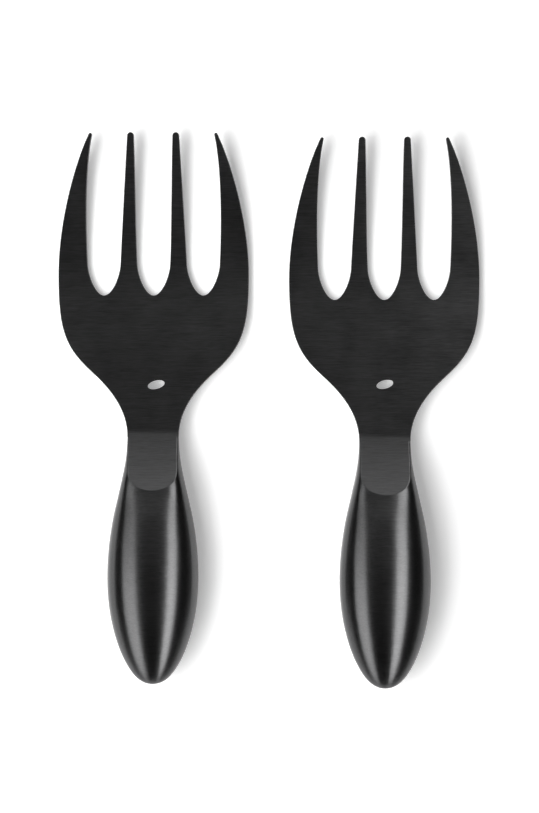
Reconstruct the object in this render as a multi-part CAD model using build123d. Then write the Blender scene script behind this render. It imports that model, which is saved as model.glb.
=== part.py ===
"""A pair of hollow-handle salad hands, black satin-brushed stainless steel, laid side by side.

Each hand is a stamped and bent 2 mm fork plate whose tongue ramps up into a hollow handle.  The
handle is two pressed half shells, welded along their parting line and round the tongue.

Millimetres.  While one hand is being built, x = 0 is its centreline, y is the distance from the
end of the handle and z = 0 is the table it rests on.
"""
import os
from math import cos, hypot, radians, sin, tan

from build123d import *

# ---- the pair -------------------------------------------------------------------------------
HAND_SPACING = 88.5        # centreline to centreline
HAND_STAGGER = 1.7         # the right hand lies this much further back
LENGTH = 210.0             # handle end to tine tips

# ---- fork plate, side view --------------------------------------------------------------------
PLATE = 2.0                # sheet thickness
BLADE_FALL = 4.0           # degrees, blade down towards the tines
TINE_RISE = 4.5            # degrees, tines up towards their tips
TINE_BEND_Y = 156.0        # lowest place, where the plate touches the table
TINE_BEND_RADIUS = 150.0   # upper face of the bend between blade and tines
CREASE_Y = 96.0            # bend between the flat blade and the ramp
CREASE_RADIUS = 8.0        # upper face of that bend
NECK_END_Y = 98.0          # the plate is flat from here to the tips
RAMP_FOOT = 15.0           # degrees, ramp slope just behind the crease
RAMP_HEAD = 27.0           # degrees, ramp slope where it meets the dome
RAMP_RADIUS = 112.7        # hollow upper face of the ramp

# ---- fork plate, plan view ----------------------------------------------------------------------
NECK_HALF = 9.8
FLARE = (23.7, 118.9)      # where the neck's hollow flank turns into the round shoulder
FLARE_HEADING = (0.74, 0.67)
BLADE_HALF = 36.55
BLADE_WIDEST_Y = 156.5
OUTER_TIP = (24.0, 209.4)
OUTER_TIP_RADIUS = 0.65
OUTER_TIP_IN = (-0.44, 0.9)    # headings on to and off the claw-like outer tip
OUTER_TIP_OUT = (0.22, -0.98)
INNER_TIP = (8.65, 209.0)
INNER_TIP_RADIUS = 1.3
INNER_TIP_IN = (-0.06, 1.0)
INNER_TIP_OUT = (-0.03, -1.0)
SLOT_END_Y = 148.2
SLOT_SIDE_Y = 160.0        # the rounded slot ends run into the slots' sides here
SLOT_HALF = 6.3
SLOT_FLARE = 0.05          # each side's lean at that point
SIDE_SLOT_X = 19.05
EDGE_ROUND = 0.2           # every stamped edge
HOLES = {"left": (1.1, 113.9), "right": (0.1, 115.7)}    # each hand's hang hole
HOLE_SIZE = (6.6, 3.2)
HOLE_TILT = 14.0           # degrees, its right end towards the tips

# ---- handle -----------------------------------------------------------------------------------
PARTING_Z = 8.06           # parting line at the handle end
PARTING_FALL = 0.03        # drop of the parting line per millimetre towards the tips
# distance from the end, half width, rise above and drop below the parting line, fullness of
# the upper and of the lower half section (0 = elliptical, 1 = like a rounded box)
HANDLE = [
    (0.6, 3.15, 2.2, 1.4, 0.0, 0.0),
    (2.4, 6.0, 4.2, 2.55, 0.0, 0.0),
    (6.0, 8.95, 6.25, 3.8, 0.0, 0.0),
    (12.0, 12.1, 8.45, 5.05, 0.0, 0.0),
    (20.0, 14.8, 10.35, 6.1, 0.0, 0.0),
    (30.0, 16.75, 11.7, 6.7, 0.05, 0.0),
    (41.5, 17.4, 12.2, 6.8, 0.1, 0.0),
    (54.0, 16.6, 11.45, 6.4, 0.2, 0.05),
    (66.0, 14.6, 9.85, 5.75, 0.4, 0.15),
    (72.0, 13.2, 8.65, 5.3, 0.72, 0.25),
    (76.0, 12.3, 7.95, 4.95, 0.95, 0.3),
    (80.0, 11.4, 7.05, 4.5, 1.05, 0.4),
    (84.0, 10.65, 6.0, 3.9, 1.05, 0.55),
    (89.0, 10.05, 4.6, 3.0, 1.0, 0.75),
    (94.0, 9.8, 3.1, 1.95, 0.95, 0.9),
    (99.0, 9.8, 2.0, 1.3, 0.9, 1.0),
]
SHELL_FRONT_Y = 94.0
WALL = 1.0
RIM_ROUND = 0.8            # where the dome meets the ramp
SEAM = 0.6                 # height of the weld along the parting line
TONGUE_HALF = 7.9
TONGUE_END_Y = 78.2
TONGUE_CORNER = 5.5
TONGUE_WELD_END_Y = 75.0
CHIN_WELD = 1.2            # leg of the bead under the neck, along the plate


def parting_z(y):
    """Height of the parting line at a distance y from the handle end."""
    return PARTING_Z - PARTING_FALL * y


def half_section(y, half_width, height, fullness):
    """One half of a handle section, from +x over (or, with a negative height, under) to -x."""
    shoulder = 0.631 + 0.62 * fullness
    crown = 1.6 - 0.5 * shoulder
    inboard = 0.493 + 0.1 * fullness
    outline = [(1.0, 0.0), (1.0, shoulder), (inboard, crown)]
    outline += [(-x, z) for x, z in reversed(outline)]
    points = [(x * half_width, y, parting_z(y) + z * height) for x, z in outline]
    return Edge.make_bezier(*points)


def handle_solid(inset):
    """The handle's full rounded form, drawn in by the given wall thickness."""
    rows = []
    for i, (y, half, rise, drop, full_up, full_down) in enumerate(HANDLE):
        before = HANDLE[max(i - 1, 0)]
        after = HANDLE[min(i + 1, len(HANDLE) - 1)]
        slope = (after[1] - before[1]) / (after[0] - before[0])
        if i == 0:
            slope = half / (2.0 * y)
        lean = hypot(1.0, slope)
        rows.append((y + inset * slope / lean, half - inset / lean,
                     rise - inset / lean, drop - inset / lean, full_up, full_down))
    sections = []
    for y, half, rise, drop, full_up, full_down in rows:
        over = half_section(y, half, rise, full_up)
        under = half_section(y, half, -drop, full_down)
        sections.append(Wire([over, under]))
    pole = Vertex(0, inset, parting_z(0))
    return Solid.make_loft([pole] + sections)


def slab(y_from, y_to, z_from=-20.0, z_to=60.0):
    """A wide block between two distances from the handle end."""
    return Pos(0, (y_from + y_to) / 2, (z_from + z_to) / 2) * Box(120, y_to - y_from, z_to - z_from)


def plate_top_line():
    """Upper face of the plate in side view, from beyond the tips back into the dome."""
    fall = radians(BLADE_FALL)
    rise = radians(TINE_RISE)
    radius = TINE_BEND_RADIUS
    tine_foot = (TINE_BEND_Y + radius * sin(rise), PLATE + radius * (1 - cos(rise)))
    blade_end = (TINE_BEND_Y - radius * sin(fall), PLATE + radius * (1 - cos(fall)))
    crease_z = blade_end[1] + (blade_end[0] - CREASE_Y) * tan(fall)
    reach = CREASE_RADIUS * tan(radians(RAMP_FOOT - BLADE_FALL) / 2)
    crease_start = (CREASE_Y + reach * cos(fall), crease_z - reach * sin(fall))
    beyond = LENGTH + 5.0
    start = (beyond, tine_foot[1] + (beyond - tine_foot[0]) * tan(rise))

    tines = Line(start, tine_foot)
    bend = JernArc(tine_foot, (-cos(rise), -sin(rise)), radius, -(TINE_RISE + BLADE_FALL))
    blade = Line(bend @ 1, crease_start)
    crease = JernArc(crease_start, (-cos(fall), sin(fall)), CREASE_RADIUS, -(RAMP_FOOT - BLADE_FALL))
    ramp = JernArc(crease @ 1, crease % 1, RAMP_RADIUS, -(RAMP_HEAD + 4.0 - RAMP_FOOT))
    return Curve() + [tines, bend, blade, crease, ramp]


def side_prism(face):
    """Extrude a side-view face (drawn with y across and z up) over the whole width."""
    return Pos(-60, 0, 0) * extrude(Plane.YZ * face, 120)


def plate_sheet():
    """The bent sheet, 2 mm thick and wider than the hand."""
    top = plate_top_line()
    section = offset(top, amount=PLATE, side=Side.LEFT)
    return side_prism(make_face(section))


def above_plate():
    """Everything over the plate's upper face, to open the dome for the ramp."""
    top = plate_top_line()
    first = top @ 0
    last = top @ 1
    cap = Polyline(last, (last.X, 80), (first.X, 80), first)
    return side_prism(make_face(Curve() + [top, cap]))


def flowing(start, heading_out, reach_out, end, heading_in, reach_in):
    """Smooth curve that leaves one point and arrives at another along the given headings."""
    out = Vector(*heading_out).normalized() * reach_out
    into = Vector(*heading_in).normalized() * reach_in
    return Bezier(start, Vector(*start) + out, Vector(*end) - into, end)


def on_tip(centre, radius, heading):
    """Point of a tine's rounded tip that a path with this heading runs onto or leaves."""
    way = Vector(*heading).normalized() * radius
    return centre[0] + way.Y, centre[1] - way.X


def slot_end(centre_x):
    """Rounded end of a slot: its right half going down and its left half going up."""
    floor = (centre_x, SLOT_END_Y)
    right = flowing((centre_x + SLOT_HALF, SLOT_SIDE_Y), (-SLOT_FLARE, -1), 4.5, floor, (-1, 0), 3.2)
    left = flowing(floor, (-1, 0), 3.2, (centre_x - SLOT_HALF, SLOT_SIDE_Y), (-SLOT_FLARE, 1), 4.5)
    return right, left


def plan_outline():
    """Right half of the fork plate's outline in plan, from the neck round to the middle slot."""
    claw_slot, tine_slot = slot_end(SIDE_SLOT_X)
    middle_slot, _ = slot_end(0.0)
    into_slot = (-SLOT_FLARE, -1)
    out_of_slot = (-SLOT_FLARE, 1)
    widest = (BLADE_HALF, BLADE_WIDEST_Y)

    neck = flowing((NECK_HALF, SHELL_FRONT_Y), (0, 1), 11.0, FLARE, FLARE_HEADING, 8.5)
    shoulder = flowing(FLARE, FLARE_HEADING, 14.0, widest, (0, 1), 21.0)
    flank = flowing(widest, (0, 1), 19.5, on_tip(OUTER_TIP, OUTER_TIP_RADIUS, OUTER_TIP_IN),
                    OUTER_TIP_IN, 12.0)
    claw = flowing(on_tip(OUTER_TIP, OUTER_TIP_RADIUS, OUTER_TIP_OUT), OUTER_TIP_OUT, 12.0,
                   claw_slot @ 0, into_slot, 16.0)
    point = ThreePointArc(flank @ 1, (OUTER_TIP[0], OUTER_TIP[1] + OUTER_TIP_RADIUS), claw @ 0)

    tine_out = flowing(tine_slot @ 1, out_of_slot, 16.0,
                       on_tip(INNER_TIP, INNER_TIP_RADIUS, INNER_TIP_IN), INNER_TIP_IN, 16.0)
    tine_in = flowing(on_tip(INNER_TIP, INNER_TIP_RADIUS, INNER_TIP_OUT), INNER_TIP_OUT, 16.0,
                      middle_slot @ 0, into_slot, 12.0)
    nose = ThreePointArc(tine_out @ 1, (INNER_TIP[0], INNER_TIP[1] + INNER_TIP_RADIUS), tine_in @ 0)
    return [neck, shoulder, flank, point, claw, claw_slot, tine_slot, tine_out, nose, tine_in,
            middle_slot]


def fork_outline():
    """Closed outline of the fork plate in front of the handle."""
    right = plan_outline()
    left = [mirror(curve, about=Plane.YZ) for curve in reversed(right)]
    neck = Line((-NECK_HALF, SHELL_FRONT_Y), (NECK_HALF, SHELL_FRONT_Y))
    return make_face(Curve() + right + left + [neck])


def rounded_edges(part):
    """Round the long upper and lower edges of a stretch of plate, not the ends it is joined at."""
    rims = []
    for edge in part.edges():
        run = edge @ 1 - edge @ 0
        upright = hypot(run.X, run.Y) < 0.05 and edge.length < 3
        straight_across = edge.geom_type == GeomType.LINE and abs(run.Y) < 0.02 and abs(run.X) > 5
        if not upright and not straight_across:
            rims.append(edge)
    return fillet(rims, EDGE_ROUND)


def fork_plate(sheet, hole_at):
    """The plate in front of the handle: neck, shoulders, four tines and the hang hole."""
    fork = sheet & raise_plan(fork_outline())
    blade = rounded_edges(fork & slab(NECK_END_Y, LENGTH + 10))
    neck = rounded_edges(fork & slab(SHELL_FRONT_Y - 1, NECK_END_Y))
    hole = Ellipse(HOLE_SIZE[0] / 2, HOLE_SIZE[1] / 2)
    return blade - raise_plan(Pos(*hole_at) * Rot(0, 0, HOLE_TILT) * hole) + neck


def tongue_outline():
    """Plan of the tongue that runs back from the neck into the handle."""
    length = SHELL_FRONT_Y - TONGUE_END_Y
    middle = (SHELL_FRONT_Y + TONGUE_END_Y) / 2
    strip = Pos(0, middle) * Rectangle(2 * TONGUE_HALF, length)
    return fillet(strip.vertices().group_by(Axis.Y)[0], TONGUE_CORNER)


def raise_plan(face):
    """Stand a plan-view face up as a tall prism."""
    return Pos(0, 0, -20) * extrude(face, 80)


def parting_block(side):
    """Everything more than half a seam above (side 1) or below (side -1) the parting plane."""
    fall = Plane(origin=(0, 0, PARTING_Z), x_dir=(1, 0, 0), z_dir=(0, PARTING_FALL, 1))
    return fall * Pos(0, 50, side * (SEAM / 2 + 30)) * Box(120, 240, 60)


def chin_weld(sheet, cover):
    """Fillet bead under the neck, between the lower shell's front edge and the plate."""
    front = SHELL_FRONT_Y
    middle = parting_z(front)
    wedge = Polyline((front, middle - 2.1), (front, middle + 2.6), (front + CHIN_WELD, middle + 2.6),
                     (front + CHIN_WELD, middle - 1.1), (front, middle - 2.1))
    bead = handle_solid(0.0) & side_prism(make_face(wedge))
    return bead - sheet - cover


def open_for_ramp(form, cover):
    """The handle's outer form with the ramp cut into its dome and the rim of the cut rounded."""
    opened = form - cover
    rim = [edge for edge in opened.edges()
           if min((edge @ 0).Y, (edge @ 1).Y) > SHELL_FRONT_Y - 0.01
           and (edge @ 0.5).Y < TONGUE_END_Y]
    return fillet(rim, RIM_ROUND)


def build_hand(hole_at):
    """Every piece of one hand, by name."""
    sheet = plate_sheet()
    cover = above_plate()
    over = parting_block(1)
    under = parting_block(-1)
    form = handle_solid(0.0) & slab(-10, SHELL_FRONT_Y)
    core = handle_solid(WALL) & slab(-10, SHELL_FRONT_Y + 1)

    tongue = (sheet & raise_plan(tongue_outline())) - ((form - core) & over)
    blade = fork_plate(sheet, hole_at) + tongue

    shell = open_for_ramp(form, cover) - core
    lower = (shell & under) - tongue
    root = (sheet & core & slab(TONGUE_WELD_END_Y, SHELL_FRONT_Y)) - tongue - lower
    return {
        "blade": blade,
        "upper_shell": shell & over,
        "lower_shell": lower,
        "seam_weld": shell - over - under,
        "tongue_weld": root,
        "chin_weld": chin_weld(sheet, cover),
    }


def main():
    os.makedirs("parts", exist_ok=True)
    middle = LENGTH / 2
    hands = {
        "left": Pos(-HAND_SPACING / 2, -middle + HAND_STAGGER / 2, 0),
        "right": Pos(HAND_SPACING / 2, -middle - HAND_STAGGER / 2, 0),
    }
    for hand, place in hands.items():
        for name, piece in build_hand(HOLES[hand]).items():
            export_step(place * piece, f"parts/{hand}_{name}.step")


if __name__ == "__main__":
    main()
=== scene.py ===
"""A pair of black brushed-steel salad hands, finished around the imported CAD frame."""

import math

import bpy
from mathutils import Matrix, Vector

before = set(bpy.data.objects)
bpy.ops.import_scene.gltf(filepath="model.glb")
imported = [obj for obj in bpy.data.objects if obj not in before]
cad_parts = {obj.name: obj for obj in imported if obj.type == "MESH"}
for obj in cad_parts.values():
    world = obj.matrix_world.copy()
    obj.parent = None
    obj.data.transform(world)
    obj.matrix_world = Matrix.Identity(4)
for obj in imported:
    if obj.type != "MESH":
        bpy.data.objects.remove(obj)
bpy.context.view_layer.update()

STEEL = (0.078, 0.078, 0.079)      # mean colour of the black coating
ANISOTROPY = 0.9

# Marks on the steel: how many fit in a metre along x, y and z, then the noise's detail and
# roughness.  The brush lines run across the hand (x), so they are few along x and many along y.
FINE_MARKS = ((240.0, 4200.0, 4200.0), 2.0, 0.6)
BROAD_MARKS = ((70.0, 1500.0, 1500.0), 3.0, 0.6)
HANDLING_MARKS = ((90.0, 60.0, 60.0), 3.0, 0.5)
FINE_SHARE = 0.6                   # of the fine marks in the grain, the broad ones fill the rest
GRAIN_SHARE = 0.8                  # of the grain in the shade, handling fills the rest
SHADE_FROM, SHADE_TO = 0.35, 0.65  # noise values that give the darkest and the palest steel
GRAIN_ROUGHNESS = 0.12             # swing of the roughness with the grain
HANDLING_ROUGHNESS = 0.10          # swing of the roughness with handling
BUMP_STRENGTH = 0.3

TABLE_SIZE = 1.4                   # the lights fall off outwards: a larger table shows more grey
TABLE_GAP = 0.0002                 # the table lies this far under the tools
TABLE_COLOUR = (0.9, 0.9, 0.9, 1)
TABLE_ROUGHNESS = 0.9
TABLE_GLOW = 0.35                  # the table glows faintly, so shadows on it stay light

WHITE = (1, 1, 1, 1)
ROOM_BRIGHTNESS = 0.03             # what the steel reflects where there is no light
LIGHT_DISTANCE = 1.0               # metres from the origin, before a light is moved ahead

FRAME_HEIGHT = 0.3129              # metres of table from top to bottom of the picture
CAMERA_HEIGHT = 0.70
CAMERA_SIDE = 0.0002               # off the origin, to the right
CAMERA_AHEAD = 0.0014              # off the origin, towards the tines
SENSOR_WIDTH = 36.0                # millimetres, along the picture's longer side


def add_node(tree, kind, inputs=None, **settings):
    """A shader node with its settings and inputs given; inputs may be sockets or plain values."""
    node = tree.nodes.new(kind)
    for key, value in settings.items():
        setattr(node, key, value)
    for key, value in (inputs or {}).items():
        if isinstance(value, bpy.types.NodeSocket):
            tree.links.new(value, node.inputs[key])
        else:
            node.inputs[key].default_value = value
    return node


def noise(tree, vector, marks):
    """Noise stretched into marks."""
    per_metre, detail, roughness = marks
    mapping = add_node(tree, "ShaderNodeMapping", {"Vector": vector, "Scale": per_metre})
    node = add_node(tree, "ShaderNodeTexNoise",
                    {"Vector": mapping.outputs["Vector"], "Scale": 1.0, "Detail": detail,
                     "Roughness": roughness})
    return node.outputs["Fac"]


def blend(tree, a, weight_a, b, weight_b, shift=0.0):
    """weight_a * a + weight_b * b + shift."""
    first = add_node(tree, "ShaderNodeMath", {0: a, 1: weight_a, 2: shift},
                     operation="MULTIPLY_ADD")
    both = add_node(tree, "ShaderNodeMath", {0: b, 1: weight_b, 2: first.outputs[0]},
                    operation="MULTIPLY_ADD")
    return both.outputs[0]


def steel_colour(factor):
    """The black coating's colour, made paler or darker by a factor."""
    return tuple(channel * factor for channel in STEEL) + (1.0,)


def brushed_black(name, roughness, grain_depth, grain_contrast):
    """Black-coated stainless, brushed across the hand (along x), with faint handling wear."""
    mat = bpy.data.materials.new(name)
    mat.use_nodes = True
    tree = mat.node_tree
    shader = tree.nodes["Principled BSDF"]
    shader.inputs["Metallic"].default_value = 1.0
    shader.inputs["Anisotropic"].default_value = ANISOTROPY
    along_hand = add_node(tree, "ShaderNodeCombineXYZ", {"X": 0.0, "Y": 1.0, "Z": 0.0})
    tree.links.new(along_hand.outputs[0], shader.inputs["Tangent"])

    coords = tree.nodes.new("ShaderNodeTexCoord").outputs["Object"]
    fine = noise(tree, coords, FINE_MARKS)
    broad = noise(tree, coords, BROAD_MARKS)
    handling = noise(tree, coords, HANDLING_MARKS)
    grain = blend(tree, fine, FINE_SHARE, broad, 1 - FINE_SHARE)

    both = blend(tree, grain, GRAIN_SHARE, handling, 1 - GRAIN_SHARE)
    shade = add_node(tree, "ShaderNodeMapRange",
                     {"Value": both, "From Min": SHADE_FROM, "From Max": SHADE_TO})
    colour = add_node(tree, "ShaderNodeMix", {"Factor": shade.outputs["Result"]}, data_type="RGBA")
    colour.inputs["A"].default_value = steel_colour(1 - grain_contrast)
    colour.inputs["B"].default_value = steel_colour(1 + grain_contrast)
    tree.links.new(colour.outputs["Result"], shader.inputs["Base Color"])

    # both noises average one half, so taking off half their swing keeps the mean roughness
    rough = blend(tree, grain, GRAIN_ROUGHNESS, handling, HANDLING_ROUGHNESS,
                  roughness - (GRAIN_ROUGHNESS + HANDLING_ROUGHNESS) / 2)
    tree.links.new(rough, shader.inputs["Roughness"])
    bump = add_node(tree, "ShaderNodeBump",
                    {"Height": grain, "Strength": BUMP_STRENGTH, "Distance": grain_depth})
    tree.links.new(bump.outputs["Normal"], shader.inputs["Normal"])
    return mat


def white_table():
    """A pale, faintly glowing table top under the tools."""
    bpy.ops.mesh.primitive_plane_add(size=TABLE_SIZE, location=(0, 0, -TABLE_GAP))
    table = bpy.context.object
    table.name = "floor"
    paint = bpy.data.materials.new("white_table")
    paint.use_nodes = True
    shader = paint.node_tree.nodes["Principled BSDF"]
    shader.inputs["Base Color"].default_value = TABLE_COLOUR
    shader.inputs["Roughness"].default_value = TABLE_ROUGHNESS
    shader.inputs["Emission Color"].default_value = WHITE
    shader.inputs["Emission Strength"].default_value = TABLE_GLOW
    table.data.materials.append(paint)
    return table


def studio_world():
    """Dim all round, as the tools reflect it, in front of a plain white backdrop."""
    world = bpy.data.worlds.new("studio")
    world.use_nodes = True
    tree = world.node_tree
    room = tree.nodes["Background"]
    room.inputs["Color"].default_value = WHITE
    room.inputs["Strength"].default_value = ROOM_BRIGHTNESS
    backdrop = add_node(tree, "ShaderNodeBackground", {"Color": WHITE, "Strength": 1.0})
    seen = add_node(tree, "ShaderNodeLightPath").outputs["Is Camera Ray"]
    either = add_node(tree, "ShaderNodeMixShader",
                      {0: seen, 1: room.outputs[0], 2: backdrop.outputs[0]})
    tree.links.new(either.outputs[0], tree.nodes["World Output"].inputs["Surface"])
    return world


def soft_light(name, slant, bearing, spread, length, brightness, ahead=0.0):
    """A soft rectangle facing the tools, slant degrees off the vertical towards a bearing.

    Bearing 0 is +X and 90 is +Y.  The light covers spread degrees of slant, is length metres
    long, level, across the bearing, and stands this far ahead (+Y).  Brightness is its radiance.
    """
    width = 2 * LIGHT_DISTANCE * math.tan(math.radians(spread / 2))
    data = bpy.data.lights.new(name, "AREA")
    data.shape = "RECTANGLE"
    data.size = length
    data.size_y = width
    data.energy = brightness * math.pi * width * length
    light = bpy.data.objects.new(name, data)
    bpy.context.scene.collection.objects.link(light)
    slant = math.radians(slant)
    bearing = math.radians(bearing)
    away = Vector((math.sin(slant) * math.cos(bearing), math.sin(slant) * math.sin(bearing),
                   math.cos(slant)))
    level = Vector((-math.sin(bearing), math.cos(bearing), 0.0))
    light.location = away * LIGHT_DISTANCE + Vector((0.0, ahead, 0.0))
    light.rotation_euler = Matrix((level, away.cross(level), away)).transposed().to_euler()
    return light


def light_studio():
    """A key light, two cards that only reflections see, and a fill that only matt surfaces see."""
    soft_light("window", slant=46.5, bearing=180, spread=29, length=1.75, brightness=4.4,
               ahead=-0.85)
    side_card = soft_light("side_card", slant=32, bearing=0, spread=20, length=1.95,
                           brightness=6.4, ahead=-0.65)
    side_card.visible_diffuse = False
    fill = soft_light("ceiling_fill", slant=38, bearing=200, spread=42, length=2.0, brightness=2.8)
    fill.visible_glossy = False
    far_card = soft_light("far_card", slant=50, bearing=90, spread=20, length=1.8, brightness=2.9)
    far_card.visible_diffuse = False


def overhead_camera():
    """A camera looking straight down, with FRAME_HEIGHT of table in its upright picture."""
    data = bpy.data.cameras.new("camera")
    camera = bpy.data.objects.new("camera", data)
    bpy.context.scene.collection.objects.link(camera)
    data.sensor_width = SENSOR_WIDTH
    data.lens = SENSOR_WIDTH * CAMERA_HEIGHT / FRAME_HEIGHT
    camera.location = (CAMERA_SIDE, CAMERA_AHEAD, CAMERA_HEIGHT)
    return camera


blade_steel = brushed_black("blade_steel", roughness=0.34, grain_depth=0.00001, grain_contrast=0.24)
handle_steel = brushed_black("handle_steel", roughness=0.33, grain_depth=0.000025, grain_contrast=0.22)
for name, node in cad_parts.items():
    steel = blade_steel if name.endswith(("_blade", "_tongue_weld")) else handle_steel
    node.data.materials.clear()
    node.data.materials.append(steel)

floor = white_table()

bpy.context.scene.world = studio_world()
light_studio()
bpy.context.scene.camera = overhead_camera()
bpy.context.scene.view_settings.view_transform = "Standard"
